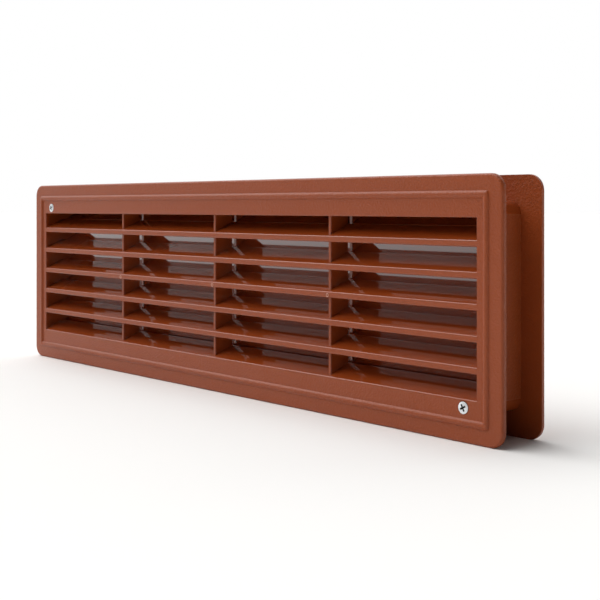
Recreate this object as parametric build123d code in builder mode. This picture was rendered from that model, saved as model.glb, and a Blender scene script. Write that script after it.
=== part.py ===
# Louvred door grille: two identical mouldings, fixed back to back through a door leaf by four screws.
# Frame: +X to the right seen from the front, +Y into the door, +Z up, origin at the middle of the whole.
import os

from build123d import *

os.makedirs("parts", exist_ok=True)

# Flange that laps over the edge of the cut-out
flange_width = 450.0
flange_height = 130.0
flange_thickness = 2.8
flange_corner_radius = 8.0
flange_edge_radius = 1.3

# Half-round bead that frames the face
bead_margin = 8.0
bead_width = 3.8
bead_height = 1.1

# Collar that lines the cut-out and meets the other half's collar end to end
half_depth = 16.5
collar_margin = 12.5
collar_wall = 1.8
collar_corner_radius = 7.0

# Louvre field: hollow slats that rise inwards, crossed by thin mullions
slat_count = 5
slat_face_height = 3.7
slat_back_height = 2.4
slat_rise = 6.6
slat_hollow = 0.5
slat_lift = 0.65
slat_edge_radius = 0.5
mullion_count = 3
mullion_thickness = 2.0
mullion_recess = 1.8
louvre_setback = 1.6
side_ledge = 1.5

# Screws and the hollow posts that take them
screw_length = 25.0
screw_diameter = 2.9
screw_head_diameter = 6.0
screw_end_margin = 24.0
head_clearance = 0.1
sleeve_clearance = 0.25
pilot_clearance = 0.05
pilot_spare_depth = 1.5
post_wall = 1.6
post_sink = 0.6
post_land = 0.8

# Sizes that follow from the ones above
collar_width = flange_width - 2 * collar_margin
collar_height = flange_height - 2 * collar_margin
inner_width = collar_width - 2 * collar_wall
inner_height = collar_height - 2 * collar_wall
inner_corner_radius = collar_corner_radius - collar_wall
sleeve_radius = screw_diameter / 2 + sleeve_clearance
pilot_radius = screw_diameter / 2 + pilot_clearance
post_radius = sleeve_radius + post_wall
ledge = 2 * post_radius - post_sink + post_land
opening_width = inner_width - 2 * side_ledge
opening_height = inner_height - 2 * ledge
slat_pitch = (opening_height + slat_face_height) / (slat_count + 1)
mullion_pitch = opening_width / (mullion_count + 1)
screw_x = flange_width / 2 - screw_end_margin
screw_z = inner_height / 2 - post_radius + post_sink
pilot_depth = screw_length - half_depth + pilot_spare_depth

# Planes: the face looks along -Y, and the two halves meet on the middle plane
face_plane = Plane.XZ.offset(half_depth)
flange_back_plane = Plane.XZ.offset(half_depth - flange_thickness)
mullion_front_plane = Plane.XZ.offset(half_depth - mullion_recess)
middle_plane = Plane.XZ
section_plane = Plane.YZ

# Each half has screw holes on one diagonal and blind bosses on the other
sleeve_places = [(-screw_x, screw_z), (screw_x, -screw_z)]
boss_places = [(screw_x, screw_z), (-screw_x, -screw_z)]

# Section of a slat: both long sides dip below their chords, and the front edges are soft
slat_face = slat_face_height / 2
slat_back_top = slat_face + slat_rise
slat_back_bottom = slat_back_top - slat_back_height
slat_middle = -(half_depth + louvre_setback) / 2
slat_middle_top = (slat_face + slat_back_top) / 2 - slat_hollow
slat_middle_bottom = (-slat_face + slat_back_bottom) / 2 - slat_hollow
with BuildSketch() as slat_section:
    with BuildLine():
        Line((-half_depth, slat_face), (-half_depth, -slat_face))
        ThreePointArc(
            (-half_depth, -slat_face),
            (slat_middle, slat_middle_bottom),
            (-louvre_setback, slat_back_bottom),
        )
        Line((-louvre_setback, slat_back_bottom), (-louvre_setback, slat_back_top))
        ThreePointArc(
            (-louvre_setback, slat_back_top),
            (slat_middle, slat_middle_top),
            (-half_depth, slat_face),
        )
    make_face()
    fillet(slat_section.vertices().group_by(Axis.X)[0], slat_edge_radius)

with BuildPart() as front_grille:
    # Flange with rounded corners and a rounded front edge
    with BuildSketch(face_plane):
        RectangleRounded(flange_width, flange_height, flange_corner_radius)
    extrude(amount=-flange_thickness)
    fillet(front_grille.faces().sort_by(Axis.Y)[0].outer_wire().edges(), flange_edge_radius)

    # Bead, swept round the face from the middle of its lower run
    bead_inset = bead_margin + bead_width / 2
    bead_x = flange_width / 2 - bead_inset
    bead_z = flange_height / 2 - bead_inset
    with BuildLine(face_plane) as bead_path:
        Polyline(
            (0, -bead_z),
            (bead_x, -bead_z),
            (bead_x, bead_z),
            (-bead_x, bead_z),
            (-bead_x, -bead_z),
            close=True,
        )
    with BuildSketch(section_plane):
        with BuildLine():
            bead_foot = -half_depth + flange_thickness / 2
            bead_crest = -half_depth - bead_height
            ThreePointArc(
                (-half_depth, -bead_z - bead_width / 2),
                (bead_crest, -bead_z),
                (-half_depth, -bead_z + bead_width / 2),
            )
            Polyline(
                (-half_depth, -bead_z + bead_width / 2),
                (bead_foot, -bead_z + bead_width / 2),
                (bead_foot, -bead_z - bead_width / 2),
                (-half_depth, -bead_z - bead_width / 2),
            )
        make_face()
    sweep(path=bead_path.line, transition=Transition.ROUND)

    # Opening, down to the middle of the sill
    sill_z = -slat_pitch * (slat_count + 1) / 2
    with BuildSketch(face_plane):
        with Locations((0, (opening_height / 2 + sill_z) / 2)):
            Rectangle(opening_width, opening_height / 2 - sill_z)
    extrude(amount=-flange_thickness, mode=Mode.SUBTRACT)

    # Collar
    with BuildSketch(flange_back_plane):
        RectangleRounded(collar_width, collar_height, collar_corner_radius)
        RectangleRounded(inner_width, inner_height, inner_corner_radius, mode=Mode.SUBTRACT)
    extrude(amount=flange_thickness - half_depth)

    # Slats, flush with the face, and a sill of the same section below them, run into the collar wall
    slat_places = [(0, sill_z + slat_pitch * row + slat_lift) for row in range(1, slat_count + 1)]
    with BuildSketch(section_plane):
        with Locations((0, sill_z), *slat_places):
            add(slat_section.sketch)
    extrude(amount=(inner_width + collar_wall) / 2, both=True)

    # Mullions, set back from the face and tied into the collar above and below
    with BuildSketch(mullion_front_plane):
        with GridLocations(mullion_pitch, 0, mullion_count, 1):
            Rectangle(mullion_thickness, inner_height)
    extrude(amount=mullion_recess + louvre_setback - half_depth)

    # Posts behind the screw holes and the bosses
    with BuildSketch(middle_plane):
        with Locations(*sleeve_places, *boss_places):
            Circle(post_radius)
    extrude(amount=half_depth - flange_thickness)

    # Countersunk screw holes, and pilot holes in the bosses
    with Locations(face_plane):
        with Locations(*sleeve_places):
            CounterSinkHole(sleeve_radius, screw_head_diameter / 2 + head_clearance, counter_sink_angle=90)
    with BuildSketch(middle_plane):
        with Locations(*boss_places):
            Circle(pilot_radius)
    extrude(amount=pilot_depth, mode=Mode.SUBTRACT)

with BuildPart() as rear_grille:
    # The same moulding turned over, so that its slats fall away from the front ones
    add(front_grille.part, rotation=(180, 0, 0))

with BuildPart() as screw:
    # Countersunk head and plain shank
    head_radius = screw_head_diameter / 2
    shank_radius = screw_diameter / 2
    with BuildSketch(Plane.XY):
        with BuildLine():
            Polyline(
                (0, 0),
                (head_radius, 0),
                (shank_radius, head_radius - shank_radius),
                (shank_radius, screw_length),
                (0, screw_length),
                close=True,
            )
        make_face()
    revolve(axis=Axis.Y)

with BuildPart() as screws:
    # Two screws go in from each side
    with Locations(*[(x, -half_depth, z) for x, z in sleeve_places]):
        add(screw.part)
    add(screws.part, rotation=(180, 0, 0))

front_grille.part.label = "front_grille"
rear_grille.part.label = "rear_grille"
screws.part.label = "screws"

export_step(front_grille.part, "parts/front_grille.step")
export_step(rear_grille.part, "parts/rear_grille.step")
export_step(screws.part, "parts/screws.step")
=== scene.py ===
# Louvred door grille in red-brown ABS: two mouldings back to back, four zinc screws, on a white studio floor.
import math

import bmesh
import bpy
from mathutils import Matrix, Vector


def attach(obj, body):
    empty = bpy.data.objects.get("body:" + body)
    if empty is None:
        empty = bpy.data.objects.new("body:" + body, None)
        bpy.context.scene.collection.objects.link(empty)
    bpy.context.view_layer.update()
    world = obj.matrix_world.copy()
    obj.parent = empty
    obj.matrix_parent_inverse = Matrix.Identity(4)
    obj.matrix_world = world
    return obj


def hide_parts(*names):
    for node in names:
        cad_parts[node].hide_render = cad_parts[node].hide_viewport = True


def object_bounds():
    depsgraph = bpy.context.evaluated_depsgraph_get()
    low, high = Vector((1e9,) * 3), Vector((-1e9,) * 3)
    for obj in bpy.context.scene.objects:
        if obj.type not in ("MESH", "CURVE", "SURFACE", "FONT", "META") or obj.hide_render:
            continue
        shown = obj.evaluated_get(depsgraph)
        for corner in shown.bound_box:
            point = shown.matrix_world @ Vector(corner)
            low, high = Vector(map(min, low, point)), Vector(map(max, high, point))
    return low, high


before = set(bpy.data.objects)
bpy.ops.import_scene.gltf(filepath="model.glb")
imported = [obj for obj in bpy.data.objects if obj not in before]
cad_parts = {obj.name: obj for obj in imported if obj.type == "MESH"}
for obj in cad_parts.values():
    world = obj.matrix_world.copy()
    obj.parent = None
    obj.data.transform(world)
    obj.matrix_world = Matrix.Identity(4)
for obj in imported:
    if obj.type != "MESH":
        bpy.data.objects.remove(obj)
cadLow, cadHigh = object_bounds()
mm = 0.001
turnOver = Matrix.Rotation(math.pi, 4, "X")  # the rear half is the front one turned over


def linear(hexColour):
    channels = [int(hexColour[i:i + 2], 16) / 255 for i in (0, 2, 4)]
    lin = [c / 12.92 if c <= 0.04045 else ((c + 0.055) / 1.055) ** 2.4 for c in channels]
    return (*lin, 1.0)


def metres(x=0.0, y=0.0, z=0.0):
    return (x * mm, y * mm, z * mm)


def addNode(tree, kind, inputs=None, **settings):
    node = tree.nodes.new(kind)
    for name, value in settings.items():
        setattr(node, name, value)
    for key, value in (inputs or {}).items():
        for one in value if isinstance(value, list) else [value]:
            if isinstance(one, bpy.types.NodeSocket):
                tree.links.new(one, node.inputs[key])
            else:
                node.inputs[key].default_value = one
    return node


def newMaterial(name):
    material = bpy.data.materials.new(name)
    material.use_nodes = True
    tree = material.node_tree
    return material, tree, tree.nodes["Principled BSDF"]


def newTree(name, inputs):
    tree = bpy.data.node_groups.new(name, "GeometryNodeTree")
    tree.interface.new_socket("Mesh", in_out="OUTPUT", socket_type="NodeSocketGeometry")
    tree.interface.new_socket("Mesh", in_out="INPUT", socket_type="NodeSocketGeometry")
    for label, kind in inputs.items():
        tree.interface.new_socket(label, in_out="INPUT", socket_type="NodeSocket" + kind)
    return tree, addNode(tree, "NodeGroupInput").outputs


def creaseEdges(tree, geometry, sharpAngle):
    # faces shaded smooth, with the edges above an angle left sharp
    smooth = addNode(tree, "GeometryNodeSetShadeSmooth", {"Geometry": geometry}, domain="FACE")
    angle = addNode(tree, "GeometryNodeInputMeshEdgeAngle").outputs[0]
    hard = addNode(tree, "ShaderNodeMath", {0: angle, 1: sharpAngle}, operation="GREATER_THAN")
    creased = addNode(tree, "GeometryNodeSetShadeSmooth", {
        "Geometry": smooth.outputs[0], "Selection": hard.outputs[0], "Shade Smooth": False,
    }, domain="EDGE")
    return creased.outputs[0]


def bothSides(tree, geometry):
    # what stands on the front face, and a copy turned over for the rear face, as real meshes
    over = addNode(tree, "GeometryNodeTransform", {"Geometry": geometry, "Rotation": (math.pi, 0, 0)})
    pair = addNode(tree, "GeometryNodeJoinGeometry", {0: [geometry, over.outputs[0]]})
    return addNode(tree, "GeometryNodeRealizeInstances", {"Geometry": pair.outputs[0]}).outputs[0]


def meshObject(name, bm):
    bmesh.ops.recalc_face_normals(bm, faces=bm.faces)
    mesh = bpy.data.meshes.new(name)
    bm.to_mesh(mesh)
    bm.free()
    piece = bpy.data.objects.new(name, mesh)
    bpy.context.collection.objects.link(piece)
    return piece


def runTree(piece, tree, values, flatFaceWeight=None):
    modifier = piece.modifiers.new(tree.name, "NODES")
    modifier.node_group = tree
    for socket in tree.interface.items_tree:
        if socket.in_out == "INPUT" and socket.name in values:
            modifier[socket.identifier] = values[socket.name]
    if flatFaceWeight:  # flat faces keep flat reflections beside their rounded edges
        normals = piece.modifiers.new("flatFaces", "WEIGHTED_NORMAL")
        normals.keep_sharp = True
        normals.weight = flatFaceWeight
    piece.update_tag()
    graph = bpy.context.evaluated_depsgraph_get()
    plain = bpy.data.meshes.new_from_object(piece.evaluated_get(graph), depsgraph=graph)
    piece.modifiers.clear()
    piece.data = plain


def softOutline(corners, steps):
    # closed outline from (a, b, radius) corners, with an arc at each
    outline = []
    for index, (a, b, radius) in enumerate(corners):
        here = Vector((a, b))
        back = (Vector(corners[index - 1][:2]) - here).normalized()
        ahead = (Vector(corners[(index + 1) % len(corners)][:2]) - here).normalized()
        half = back.angle(ahead) / 2
        centre = here + (back + ahead).normalized() * (radius / math.sin(half))
        start = here + back * (radius / math.tan(half)) - centre
        sweep = start.angle_signed(here + ahead * (radius / math.tan(half)) - centre)
        for step in range(steps + 1):
            outline.append(centre + Matrix.Rotation(-sweep * step / steps, 2) @ start)
    return outline


def prism(name, outline, place, ends):
    # outline carried from one end to the other, where place turns (a, b, end) into a point in mm
    bm = bmesh.new()
    rings = [[bm.verts.new(Vector(place(a, b, end)) * mm) for a, b in outline] for end in ends]
    for i in range(len(outline)):
        j = (i + 1) % len(outline)
        bm.faces.new((rings[0][i], rings[0][j], rings[1][j], rings[1][i]))
    bm.faces.new(rings[0])
    bm.faces.new(rings[1])
    return meshObject(name, bm)


def lathe(name, profile, segments):
    # profile of (radius, y) turned about the Y axis, with its first and last points on the axis
    bm = bmesh.new()
    turns = [2 * math.pi * s / segments for s in range(segments)]
    rings = []
    for radius, y in profile:
        if radius == 0:
            rings.append([bm.verts.new(metres(y=y))])
            continue
        around = [metres(radius * math.cos(turn), y, radius * math.sin(turn)) for turn in turns]
        rings.append([bm.verts.new(point) for point in around])
    for inner, outer in zip(rings, rings[1:]):
        for s in range(segments):
            corners = [inner[s % len(inner)], inner[(s + 1) % len(inner)]]
            corners += [outer[(s + 1) % len(outer)], outer[s % len(outer)]]
            bm.faces.new(list(dict.fromkeys(corners)))
    return meshObject(name, bm)


# ABS, injection moulded from a spark-eroded cavity: satin, with a grain that breaks reflections up
satinAbsLook = {
    "colour": "99471f",
    "deepColour": "92421b",
    "cloudSize": 60,  # mm, faint flow clouds
    "grainSize": 1.2,  # mm, coarser than the real 0.05 mm so that it shows
    "grainDepth": 0.3,  # mm, deepened in step with the size
    "roughness": 0.4,
    "shine": 0.33,  # the grain traps part of the reflection
}

# ABS against the polished draw faces of the mould: the same colour with sharp reflections
glossAbsLook = {
    "colour": "94411a",
    "deepColour": "8c3c17",
    "cloudSize": 40,
    "grainSize": 6.0,  # mm, slow waviness of a draw-polished face
    "grainDepth": 0.002,
    "roughness": 0.035,
    "shine": 0.5,
}

# ABS whitened where the gates were torn off: paler and duller than the skin
tornAbsLook = {
    "colour": "f2d3c2",
    "deepColour": "d9a78c",
    "cloudSize": 1.0,
    "grainSize": 0.3,
    "grainDepth": 0.03,
    "roughness": 0.6,
    "shine": 0.4,
}
absIor = 1.53


def absPlastic(name, look):
    material, tree, shader = newMaterial(name)
    place = addNode(tree, "ShaderNodeTexCoord").outputs["Object"]
    cloudScale, grainScale = (1 / (look[size] * mm) for size in ("cloudSize", "grainSize"))
    clouds = addNode(tree, "ShaderNodeTexNoise", {"Vector": place, "Scale": cloudScale, "Detail": 3.0})
    tint = addNode(tree, "ShaderNodeMix", {
        "Factor": clouds.outputs[0], 6: linear(look["deepColour"]), 7: linear(look["colour"]),
    }, data_type="RGBA")
    tree.links.new(tint.outputs[2], shader.inputs["Base Color"])
    grain = addNode(tree, "ShaderNodeTexNoise", {"Vector": place, "Scale": grainScale, "Detail": 2.0})
    bump = addNode(tree, "ShaderNodeBump", {"Height": grain.outputs[0], "Distance": look["grainDepth"] * mm})
    tree.links.new(bump.outputs[0], shader.inputs["Normal"])
    shader.inputs["Roughness"].default_value = look["roughness"]
    shader.inputs["IOR"].default_value = absIor
    shader.inputs["Specular IOR Level"].default_value = look["shine"]
    return material


satinAbs = absPlastic("satinAbs", satinAbsLook)
glossAbs = absPlastic("glossAbs", glossAbsLook)
tornAbs = absPlastic("tornAbs", tornAbsLook)

# Steel, cold headed, zinc plated and clear passivated: bright and slightly blue, with a fine matt bloom;
# the recess and the rim round the head are darkened with painted shade where other walls stand near
zincLook = {
    "colour": "fafcfd",
    "bloomColour": "eaf0f4",
    "bloomSize": 0.8,  # mm
    "roughness": (0.3, 0.5),
    "metal": 0.5,  # the rest is the pale passivated skin
    # dark colour of the painted shade in the recess and round the head's rim
    "recessShadeColour": "2b1d17",
    "shadeReach": 1.6,  # mm, how near the next wall must be for the painted shade to fall
    "shadeOpen": (0.45, 0.8),  # open share of the view where the painted shade covers all and where it ends
}


def zincPlate(name, look):
    material, tree, shader = newMaterial(name)
    place = addNode(tree, "ShaderNodeTexCoord").outputs["Object"]
    bloomScale = 1 / (look["bloomSize"] * mm)
    bloom = addNode(tree, "ShaderNodeTexNoise", {"Vector": place, "Scale": bloomScale, "Detail": 4.0})
    tint = addNode(tree, "ShaderNodeMix", {
        "Factor": bloom.outputs[0], 6: linear(look["bloomColour"]), 7: linear(look["colour"]),
    }, data_type="RGBA")
    # painted shade: the colour darkens towards the shade colour where nearby walls close in, in the recess
    # and round the rim
    clear = addNode(tree, "ShaderNodeAmbientOcclusion", {"Distance": look["shadeReach"] * mm}, only_local=True)
    unshadedShare = addNode(tree, "ShaderNodeMapRange", {
        "Value": clear.outputs["AO"], "From Min": look["shadeOpen"][0], "From Max": look["shadeOpen"][1],
    })
    recessShaded = addNode(tree, "ShaderNodeMix", {
        "Factor": unshadedShare.outputs[0], 6: linear(look["recessShadeColour"]), 7: tint.outputs[2],
    }, data_type="RGBA")
    tree.links.new(recessShaded.outputs[2], shader.inputs["Base Color"])
    dull = addNode(tree, "ShaderNodeMapRange", {
        "Value": bloom.outputs[0], "To Min": look["roughness"][0], "To Max": look["roughness"][1],
    })
    tree.links.new(dull.outputs[0], shader.inputs["Roughness"])
    shader.inputs["Metallic"].default_value = look["metal"]
    return material


zinc = zincPlate("zincPlatedSteel", zincLook)
print("materials made")

# Frame of a moulding: flange, bead, opening and collar, in mm
frameSizes = {
    "halfWidth": round(cadHigh.x / mm, 3),
    "halfHeight": round(cadHigh.z / mm, 3),
    "beadHeight": 1.1,
    "flangeThickness": 2.8,
    "flangeCorner": 8.0,
    "edgeRound": 1.3,
    "backEdgeRound": 0.25,
    "beadInset": 8.0,
    "beadWidth": 3.8,
    "mitreCorner": 0.25,
    "sideLedge": 1.5,  # from the collar wall to the opening at its ends
    "postLedge": 6.8,  # the same above and below, where the posts stand
    "openingRound": 0.5,
    "collarInset": 12.5,
    "collarWall": 1.8,
    "collarCorner": 7.0,
    "meetingBreak": 0.15,  # edge break that shows as the parting line
    "cornerSteps": 10,
    "roundSteps": 7,
    "backRoundSteps": 3,
    "beadSteps": 14,
}
halfDepth = round(cadHigh.y / mm, 3) - frameSizes["beadHeight"]
facePlane = -halfDepth
flangeBack = facePlane + frameSizes["flangeThickness"]
collarHalfWidth = frameSizes["halfWidth"] - frameSizes["collarInset"]
collarHalfHeight = frameSizes["halfHeight"] - frameSizes["collarInset"]
innerHalfWidth = collarHalfWidth - frameSizes["collarWall"]
innerHalfHeight = collarHalfHeight - frameSizes["collarWall"]
openingHalfWidth = innerHalfWidth - frameSizes["sideLedge"]
openingHalfHeight = innerHalfHeight - frameSizes["postLedge"]

# Slats: rising and thinning inwards, with soft front edges, and a sill of the same section below them
slatSizes = {
    "rows": 5,
    "lift": 0.65,  # of the slats, not of the sill
    "faceHeight": 3.7,
    "backHeight": 2.4,
    "rise": 6.6,
    "setback": 1.6,
    "topEdgeRound": 0.9,
    "lowEdgeRound": 0.7,
    "backRound": 0.3,
    "edgeSteps": 6,
    "bite": 0.9,  # into the collar wall
}
slatPitch = (2 * openingHalfHeight + slatSizes["faceHeight"]) / (slatSizes["rows"] + 1)
sillMiddle = -slatPitch * (slatSizes["rows"] + 1) / 2


def slatMiddle(row):
    return sillMiddle + row * slatPitch + slatSizes["lift"]


def slatOutline(s):
    half = s["faceHeight"] / 2
    back = -s["setback"]
    backTop = half + s["rise"]
    corners = [
        (facePlane, -half, s["lowEdgeRound"]),
        (back, backTop - s["backHeight"], s["backRound"]),
        (back, backTop, s["backRound"]),
        (facePlane, half, s["topEdgeRound"]),
    ]
    return softOutline(corners, s["edgeSteps"])


def frameStations(s):
    # (half width, half height, corner radius, y, middle z) round the section of the frame
    def inset(depth, corner, y):
        return (s["halfWidth"] - depth, s["halfHeight"] - depth, corner, y, 0.0)

    def opening(spread, y):  # down to the middle of the sill
        half = (openingHalfHeight - sillMiddle) / 2
        middle = (openingHalfHeight + sillMiddle) / 2
        return (openingHalfWidth + spread, half + spread, s["mitreCorner"] + spread, y, middle)

    def quarter(steps):
        return [math.pi / 2 * step / steps for step in range(steps + 1)]

    stations = []
    small = s["backEdgeRound"]
    for turn in quarter(s["backRoundSteps"]):
        depth = small * (1 - math.sin(turn))
        stations.append(inset(depth, s["flangeCorner"] - depth, flangeBack - small * (1 - math.cos(turn))))
    big = s["edgeRound"]
    for turn in quarter(s["roundSteps"]):
        depth = big * (1 - math.cos(turn))
        stations.append(inset(depth, s["flangeCorner"] - depth, facePlane + big * (1 - math.sin(turn))))
    halfBead = s["beadWidth"] / 2
    radius = (halfBead ** 2 + s["beadHeight"] ** 2) / (2 * s["beadHeight"])
    reach = math.asin(halfBead / radius)
    for step in range(s["beadSteps"] + 1):
        turn = reach * (2 * step / s["beadSteps"] - 1)
        across = halfBead + radius * math.sin(turn)
        proud = radius * math.cos(turn) - radius + s["beadHeight"]
        corner = max(s["mitreCorner"], halfBead - across)
        stations.append(inset(s["beadInset"] + across, corner, facePlane - proud))
    soft = s["openingRound"]
    for turn in quarter(s["roundSteps"]):
        stations.append(opening(soft * (1 - math.sin(turn)), facePlane + soft * (1 - math.cos(turn))))
    stations.append(opening(0, flangeBack))
    innerInset = s["collarInset"] + s["collarWall"]
    innerCorner = s["collarCorner"] - s["collarWall"]
    stations.append(inset(innerInset, innerCorner, flangeBack))
    stations.append(inset(innerInset, innerCorner, 0))
    gap = s["meetingBreak"]
    stations.append(inset(s["collarInset"] + gap, s["collarCorner"] - gap, 0))
    stations.append(inset(s["collarInset"], s["collarCorner"], -gap))
    stations.append(inset(s["collarInset"], s["collarCorner"], flangeBack))
    return stations


def ring(bm, halfWidth, halfHeight, corner, y, middle):
    verts = []
    steps = frameSizes["cornerSteps"]
    for quarter, (sideX, sideZ) in enumerate(((1, 1), (-1, 1), (-1, -1), (1, -1))):
        for step in range(steps + 1):
            turn = math.pi / 2 * (quarter + step / steps)
            x = sideX * (halfWidth - corner) + corner * math.cos(turn)
            z = middle + sideZ * (halfHeight - corner) + corner * math.sin(turn)
            verts.append(bm.verts.new(metres(x, y, z)))
    return verts


def buildFrame(name):
    bm = bmesh.new()
    rings = [ring(bm, *station) for station in frameStations(frameSizes)]
    for one, two in zip(rings, rings[1:] + rings[:1]):
        for i in range(len(one)):
            j = (i + 1) % len(one)
            bm.faces.new((one[i], one[j], two[j], two[i]))
    return meshObject(name, bm)


# Mullions: thin uprights set back from the face
mullionSizes = {
    "count": 3,
    "thickness": 2.0,
    "recess": 1.8,
    "edgeRound": 0.45,
    "backRound": 0.1,
    "edgeSteps": 5,
    "bite": 0.6,  # into the collar wall
}
mullionPitch = 2 * openingHalfWidth / (mullionSizes["count"] + 1)
firstMullion = -mullionPitch * (mullionSizes["count"] - 1) / 2


def mullionOutline(m):
    half = m["thickness"] / 2
    front = facePlane + m["recess"]
    back = -slatSizes["setback"]
    soft, crisp = m["edgeRound"], m["backRound"]
    corners = [(-half, front, soft), (half, front, soft), (half, back, crisp), (-half, back, crisp)]
    return softOutline(corners, m["edgeSteps"])


# Posts behind the screws, and what is bored out of them
postSizes = {
    "endInset": 24.0,  # from the flange's end
    "radius": 3.3,
    "wallSink": 0.6,  # into the collar wall
    "foot": 0.7,  # into the flange
    "sleeveRadius": 1.7,
    "sinkRadius": 3.4,
    "pilotRadius": 1.5,
    "pilotDepth": 10.0,
    "overcut": 0.5,
    "segments": 48,
}
postX = frameSizes["halfWidth"] - postSizes["endInset"]
postZ = innerHalfHeight - postSizes["radius"] + postSizes["wallSink"]
sleevePlaces = (metres(x=-postX, z=postZ), metres(x=postX, z=-postZ))  # where the screws go in
bossPlaces = (metres(x=postX, z=postZ), metres(x=-postX, z=-postZ))  # where the other half's screws end


def postProfiles(p):
    foot = flangeBack - p["foot"]
    over = p["overcut"]
    mouth = facePlane - over
    sinkEnd = facePlane + p["sinkRadius"] - p["sleeveRadius"]
    bottom = -p["pilotDepth"]
    post = [(0, foot), (p["radius"], foot), (p["radius"], 0), (0, 0)]
    sleeve = [(0, mouth), (p["sinkRadius"] + over, mouth), (p["sleeveRadius"], sinkEnd)]
    sleeve += [(p["sleeveRadius"], over), (0, over)]
    pilot = [(0, bottom), (p["pilotRadius"], bottom), (p["pilotRadius"], over), (0, over)]
    return post, sleeve, pilot


# How a moulding is put together and which faces are polished
finishSizes = {
    "mergeDistance": 0.004,  # mm
    "sharpAngle": 28,  # degrees
    "frontFacing": -0.97,  # y of the normal, below which a face is the satin front
    "flatFaceWeight": 90,
}


def mouldingTree():
    # joins slats, mullions and posts to the frame, bores the screw holes and finishes the faces
    forms = ("Slat", "Mullion", "Post", "Sleeve cutter", "Pilot cutter")
    tree, given = newTree("louvreMoulding", {
        **{form: "Object" for form in forms},
        "Slat rows": "Int", "First slat": "Vector", "Slat step": "Vector", "Sill": "Vector",
        "Mullion count": "Int", "First mullion": "Vector", "Mullion step": "Vector",
        "First sleeve": "Vector", "Last sleeve": "Vector", "First boss": "Vector", "Last boss": "Vector",
        "Merge distance": "Float", "Sharp angle": "Float", "Front facing": "Float", "Inside": "Vector",
    })
    shapes = {}
    for form in forms:
        shapes[form] = addNode(tree, "GeometryNodeObjectInfo", {"Object": given[form]}).outputs["Geometry"]
    rows = addNode(tree, "GeometryNodeMeshLine", {
        "Count": given["Slat rows"], "Start Location": given["First slat"], "Offset": given["Slat step"],
    })
    uprights = addNode(tree, "GeometryNodeMeshLine", {
        "Count": given["Mullion count"], "Start Location": given["First mullion"],
        "Offset": given["Mullion step"],
    })
    sleeves = addNode(tree, "GeometryNodeMeshLine", {
        "Count": 2, "Start Location": given["First sleeve"], "Offset": given["Last sleeve"],
    }, mode="END_POINTS")
    bosses = addNode(tree, "GeometryNodeMeshLine", {
        "Count": 2, "Start Location": given["First boss"], "Offset": given["Last boss"],
    }, mode="END_POINTS")
    copies = {}
    for label, line, form in (
        ("slats", rows, "Slat"), ("mullions", uprights, "Mullion"),
        ("sleevePosts", sleeves, "Post"), ("bossPosts", bosses, "Post"),
        ("sleeveBores", sleeves, "Sleeve cutter"), ("pilotBores", bosses, "Pilot cutter"),
    ):
        copies[label] = addNode(tree, "GeometryNodeInstanceOnPoints", {
            "Points": line.outputs[0], "Instance": shapes[form],
        }).outputs[0]
    sill = addNode(tree, "GeometryNodeTransform", {"Geometry": shapes["Slat"], "Translation": given["Sill"]})
    joined = addNode(tree, "GeometryNodeMeshBoolean", {"Mesh 2": [
        given["Mesh"], copies["slats"], sill.outputs[0], copies["mullions"],
        copies["sleevePosts"], copies["bossPosts"],
    ]}, operation="UNION", solver="MANIFOLD")
    bored = addNode(tree, "GeometryNodeMeshBoolean", {
        "Mesh 1": joined.outputs[0], "Mesh 2": [copies["sleeveBores"], copies["pilotBores"]],
    }, operation="DIFFERENCE", solver="MANIFOLD")
    whole = addNode(tree, "GeometryNodeRealizeInstances", {"Geometry": bored.outputs[0]})
    clean = addNode(tree, "GeometryNodeMergeByDistance", {
        "Geometry": whole.outputs[0], "Distance": given["Merge distance"],
    })
    creased = creaseEdges(tree, clean.outputs[0], given["Sharp angle"])
    grained = addNode(tree, "GeometryNodeSetMaterial", {"Geometry": creased, "Material": satinAbs})
    place = addNode(tree, "GeometryNodeInputPosition")
    away = addNode(tree, "ShaderNodeVectorMath", {0: place.outputs[0]}, operation="ABSOLUTE")
    inside = addNode(tree, "FunctionNodeCompare", {
        4: away.outputs[0], 5: given["Inside"],
    }, data_type="VECTOR", mode="ELEMENT", operation="LESS_THAN")
    facing = addNode(tree, "GeometryNodeInputNormal")
    normal = addNode(tree, "ShaderNodeSeparateXYZ", {0: facing.outputs[0]})
    drawn = addNode(tree, "FunctionNodeCompare", {
        0: normal.outputs["Y"], 1: given["Front facing"],
    }, operation="GREATER_THAN")
    polished = addNode(tree, "FunctionNodeBooleanMath", {
        0: inside.outputs[0], 1: drawn.outputs[0],
    }, operation="AND")
    finished = addNode(tree, "GeometryNodeSetMaterial", {
        "Geometry": grained.outputs[0], "Selection": polished.outputs[0], "Material": glossAbs,
    })
    addNode(tree, "NodeGroupOutput", {0: finished.outputs[0]})
    return tree


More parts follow.
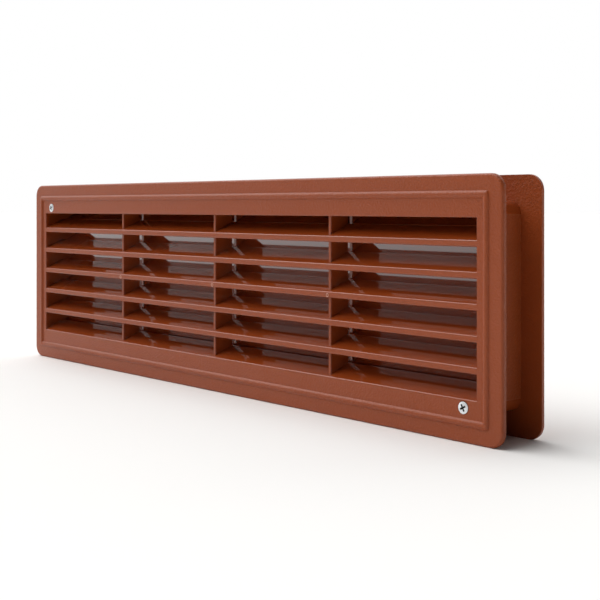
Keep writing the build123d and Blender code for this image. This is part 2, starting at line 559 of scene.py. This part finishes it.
def buildMouldings():
    s, m, p = slatSizes, mullionSizes, postSizes
    slatEnd = innerHalfWidth + s["bite"]
    mullionEnd = innerHalfHeight + m["bite"]
    post, sleeve, pilot = postProfiles(p)
    forms = {
        "Slat": prism("slatForm", slatOutline(s), lambda y, z, end: (end, y, z), (-slatEnd, slatEnd)),
        "Mullion": prism(
            "mullionForm", mullionOutline(m), lambda x, y, end: (x, y, end), (-mullionEnd, mullionEnd)
        ),
        "Post": lathe("postForm", post, p["segments"]),
        "Sleeve cutter": lathe("sleeveForm", sleeve, p["segments"]),
        "Pilot cutter": lathe("pilotForm", pilot, p["segments"]),
    }
    sizes = {
        "Slat rows": s["rows"], "First slat": metres(z=slatMiddle(1)), "Slat step": metres(z=slatPitch),
        "Sill": metres(z=sillMiddle),
        "Mullion count": m["count"], "First mullion": metres(x=firstMullion),
        "Mullion step": metres(x=mullionPitch),
        "First sleeve": sleevePlaces[0], "Last sleeve": sleevePlaces[1],
        "First boss": bossPlaces[0], "Last boss": bossPlaces[1],
        "Merge distance": finishSizes["mergeDistance"] * mm,
        "Sharp angle": math.radians(finishSizes["sharpAngle"]),
        "Front facing": finishSizes["frontFacing"],
        "Inside": metres(collarHalfWidth, 2 * halfDepth, collarHalfHeight),
    }
    front = buildFrame("frontMoulding")
    runTree(front, mouldingTree(), {**forms, **sizes}, finishSizes["flatFaceWeight"])
    for form in forms.values():
        bpy.data.objects.remove(form)
    rear = bpy.data.objects.new("rearMoulding", front.data.copy())
    bpy.context.collection.objects.link(rear)
    rear.data.transform(turnOver)
    for piece, node in ((front, "front_grille"), (rear, "rear_grille")):
        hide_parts(node)
        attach(piece, "root")
    return front


front = buildMouldings()
print("mouldings built,", len(front.data.polygons), "faces each")

# Screws: countersunk, low crown, cross recess
screwSizes = {
    "headRadius": 3.0,
    "crown": 0.45,
    "crownSteps": 6,
    "rim": 0.12,
    "shankRadius": 1.45,
    "length": 25.0,
    "point": 3.0,
    "tipRadius": 0.15,
    "tipLength": 0.1,
    "recessWidth": 0.95,
    "recessReach": 1.9,
    "recessDepth": 2.3,
    "recessOvercut": 0.2,
    "recessShares": (1.05, 0.7),  # of the reach, at the mouth and at the bottom
    "recessTurn": 28,  # degrees
    "sharpAngle": 35,  # degrees
    "segments": 48,
}


def screwProfile(s):
    top = facePlane - s["crown"]
    neck = facePlane + s["rim"] + s["headRadius"] - s["shankRadius"]
    end = facePlane + s["length"]
    profile = [(0, top)]
    for step in range(1, s["crownSteps"] + 1):
        share = step / s["crownSteps"]
        profile.append((s["headRadius"] * share, top + s["crown"] * share ** 2))
    profile.append((s["headRadius"], facePlane + s["rim"]))
    profile += [(s["shankRadius"], neck), (s["shankRadius"], end - s["point"])]
    profile += [(s["tipRadius"], end - s["tipLength"]), (0, end)]
    return profile


def recessForm(name, s):
    # cross whose arms shorten inwards, and narrow half as fast, cut into the crown
    bm = bmesh.new()
    levels = []
    top = facePlane - s["crown"]
    for y, share in zip((top - s["recessOvercut"], top + s["recessDepth"]), s["recessShares"]):
        reach, half = s["recessReach"] * share, s["recessWidth"] / 2 * (1 + share) / 2
        level = []
        for arm in range(4):
            spin = Matrix.Rotation(math.radians(s["recessTurn"] + 90 * arm), 2)
            for corner in ((reach, -half), (reach, half), (half, half)):
                x, z = spin @ Vector(corner)
                level.append(bm.verts.new(metres(x, y, z)))
        levels.append(level)
    for i in range(len(levels[0])):
        j = (i + 1) % len(levels[0])
        bm.faces.new((levels[0][i], levels[0][j], levels[1][j], levels[1][i]))
    bm.faces.new(levels[0])
    bm.faces.new(levels[1])
    return meshObject(name, bm)


def screwTree():
    # one screw with its recess cut, set at two places on each side
    tree, given = newTree("screwSet", {
        "Recess": "Object", "First place": "Vector", "Last place": "Vector", "Sharp angle": "Float",
    })
    recess = addNode(tree, "GeometryNodeObjectInfo", {"Object": given["Recess"]}).outputs["Geometry"]
    cut = addNode(tree, "GeometryNodeMeshBoolean", {
        "Mesh 1": given["Mesh"], "Mesh 2": [recess],
    }, operation="DIFFERENCE", solver="MANIFOLD")
    line = addNode(tree, "GeometryNodeMeshLine", {
        "Count": 2, "Start Location": given["First place"], "Offset": given["Last place"],
    }, mode="END_POINTS")
    pair = addNode(tree, "GeometryNodeInstanceOnPoints", {
        "Points": line.outputs[0], "Instance": cut.outputs[0],
    })
    creased = creaseEdges(tree, bothSides(tree, pair.outputs[0]), given["Sharp angle"])
    plated = addNode(tree, "GeometryNodeSetMaterial", {"Geometry": creased, "Material": zinc})
    addNode(tree, "NodeGroupOutput", {0: plated.outputs[0]})
    return tree


screwSet = lathe("screwSet", screwProfile(screwSizes), screwSizes["segments"])
recess = recessForm("recessForm", screwSizes)
runTree(screwSet, screwTree(), {
    "Recess": recess, "First place": sleevePlaces[0], "Last place": sleevePlaces[1],
    "Sharp angle": math.radians(screwSizes["sharpAngle"]),
})
bpy.data.objects.remove(recess)
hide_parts("screws")
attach(screwSet, "root")
print("screws set,", len(screwSet.data.polygons), "faces")

# Gate marks: the torn rings left where the plastic was fed in, one before each mullion
gateSizes = {
    "row": 3,  # the middle slat
    "ringRadius": 0.85,
    "ringThickness": 0.4,
    "proud": 0.15,
    "sunk": 0.05,
    "segments": 24,
}


def gateProfile(g):
    # a low torn ring, its middle sunk so that the slat shows there
    outer, inner = g["ringRadius"] + g["ringThickness"] / 2, g["ringRadius"] - g["ringThickness"] / 2
    crest, sunk, root = facePlane - g["proud"], facePlane + g["sunk"], facePlane + g["proud"]
    return [(0, sunk), (inner, sunk), (g["ringRadius"], crest), (outer, sunk), (outer, root), (0, root)]


def gateTree():
    tree, given = newTree("gateMarks", {"Count": "Int", "First place": "Vector", "Step": "Vector"})
    line = addNode(tree, "GeometryNodeMeshLine", {
        "Count": given["Count"], "Start Location": given["First place"], "Offset": given["Step"],
    })
    marks = addNode(tree, "GeometryNodeInstanceOnPoints", {
        "Points": line.outputs[0], "Instance": given["Mesh"],
    })
    whole = bothSides(tree, marks.outputs[0])
    smooth = addNode(tree, "GeometryNodeSetShadeSmooth", {"Geometry": whole}, domain="FACE")
    torn = addNode(tree, "GeometryNodeSetMaterial", {"Geometry": smooth.outputs[0], "Material": tornAbs})
    addNode(tree, "NodeGroupOutput", {0: torn.outputs[0]})
    return tree


gateMarks = lathe("gateMarks", gateProfile(gateSizes), gateSizes["segments"])
runTree(gateMarks, gateTree(), {
    "Count": mullionSizes["count"], "Step": metres(x=mullionPitch),
    "First place": metres(x=firstMullion, z=slatMiddle(gateSizes["row"])),
})
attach(gateMarks, "root")
print("gate marks set")

# Camera: level, with a lens shift that keeps the uprights upright
cameraView = {
    "place": (552.1, -431.3, 49.3),  # mm
    "yaw": 48.57,  # degrees, from straight on
    "lens": 66.84,
    "sensor": 36.0,
    "shiftY": -0.1563,
    "nearest": 0.01,  # m
}
cameraData = bpy.data.cameras.new("photoCamera")
cameraData.sensor_width = cameraView["sensor"]
cameraData.lens = cameraView["lens"]
cameraData.shift_y = cameraView["shiftY"]
cameraData.clip_start = cameraView["nearest"]
camera = bpy.data.objects.new("photoCamera", cameraData)
bpy.context.collection.objects.link(camera)
camera.location = metres(*cameraView["place"])
camera.rotation_euler = (math.pi / 2, 0, math.radians(cameraView["yaw"]))
bpy.context.scene.camera = camera
bpy.context.scene.view_settings.view_transform = "Standard"

# Floor: matt white paper
floorLook = {
    "size": 30.0,  # m
    "colour": "f4f3f1",
    "roughness": 0.8,
}
bpy.ops.mesh.primitive_plane_add(size=floorLook["size"], location=(0, 0, cadLow.z))
floor = bpy.context.object
floor.name = "floor"
floorPaper, _, floorShader = newMaterial("paleFloor")
floorShader.inputs["Base Color"].default_value = linear(floorLook["colour"])
floorShader.inputs["Roughness"].default_value = floorLook["roughness"]
floor.data.materials.append(floorPaper)

# Studio light: a white sweep behind that ends in a dim camera side, and a broad light overhead to the left.
# The strength goes from the first value to the second between the two cosines of the angle from the way.
studioLight = {
    "sweep": {"way": (0.8, -0.6, 0), "edge": (-0.5, 0.0), "strength": (1.0, 0.06)},
    "overhead": {"way": (-0.45, -0.28, 0.85), "edge": (0.74, 0.94), "strength": (0.0, 3.1)},
}
world = bpy.data.worlds.new("studioWorld")
bpy.context.scene.world = world
world.use_nodes = True
sky = world.node_tree
direction = addNode(sky, "ShaderNodeTexCoord").outputs["Generated"]
fades = []
for light in studioLight.values():
    towards = addNode(sky, "ShaderNodeVectorMath", {
        0: direction, 1: Vector(light["way"]).normalized(),
    }, operation="DOT_PRODUCT")
    fade = addNode(sky, "ShaderNodeMapRange", {
        "Value": towards.outputs["Value"], "From Min": light["edge"][0], "From Max": light["edge"][1],
        "To Min": light["strength"][0], "To Max": light["strength"][1],
    }, interpolation_type="SMOOTHSTEP")
    fades.append(fade.outputs[0])
total = addNode(sky, "ShaderNodeMath", {0: fades[0], 1: fades[1]}, operation="ADD")
sky.links.new(total.outputs[0], sky.nodes["Background"].inputs["Strength"])
sky.nodes["Background"].inputs["Color"].default_value = (1, 1, 1, 1)
print("camera and studio set")
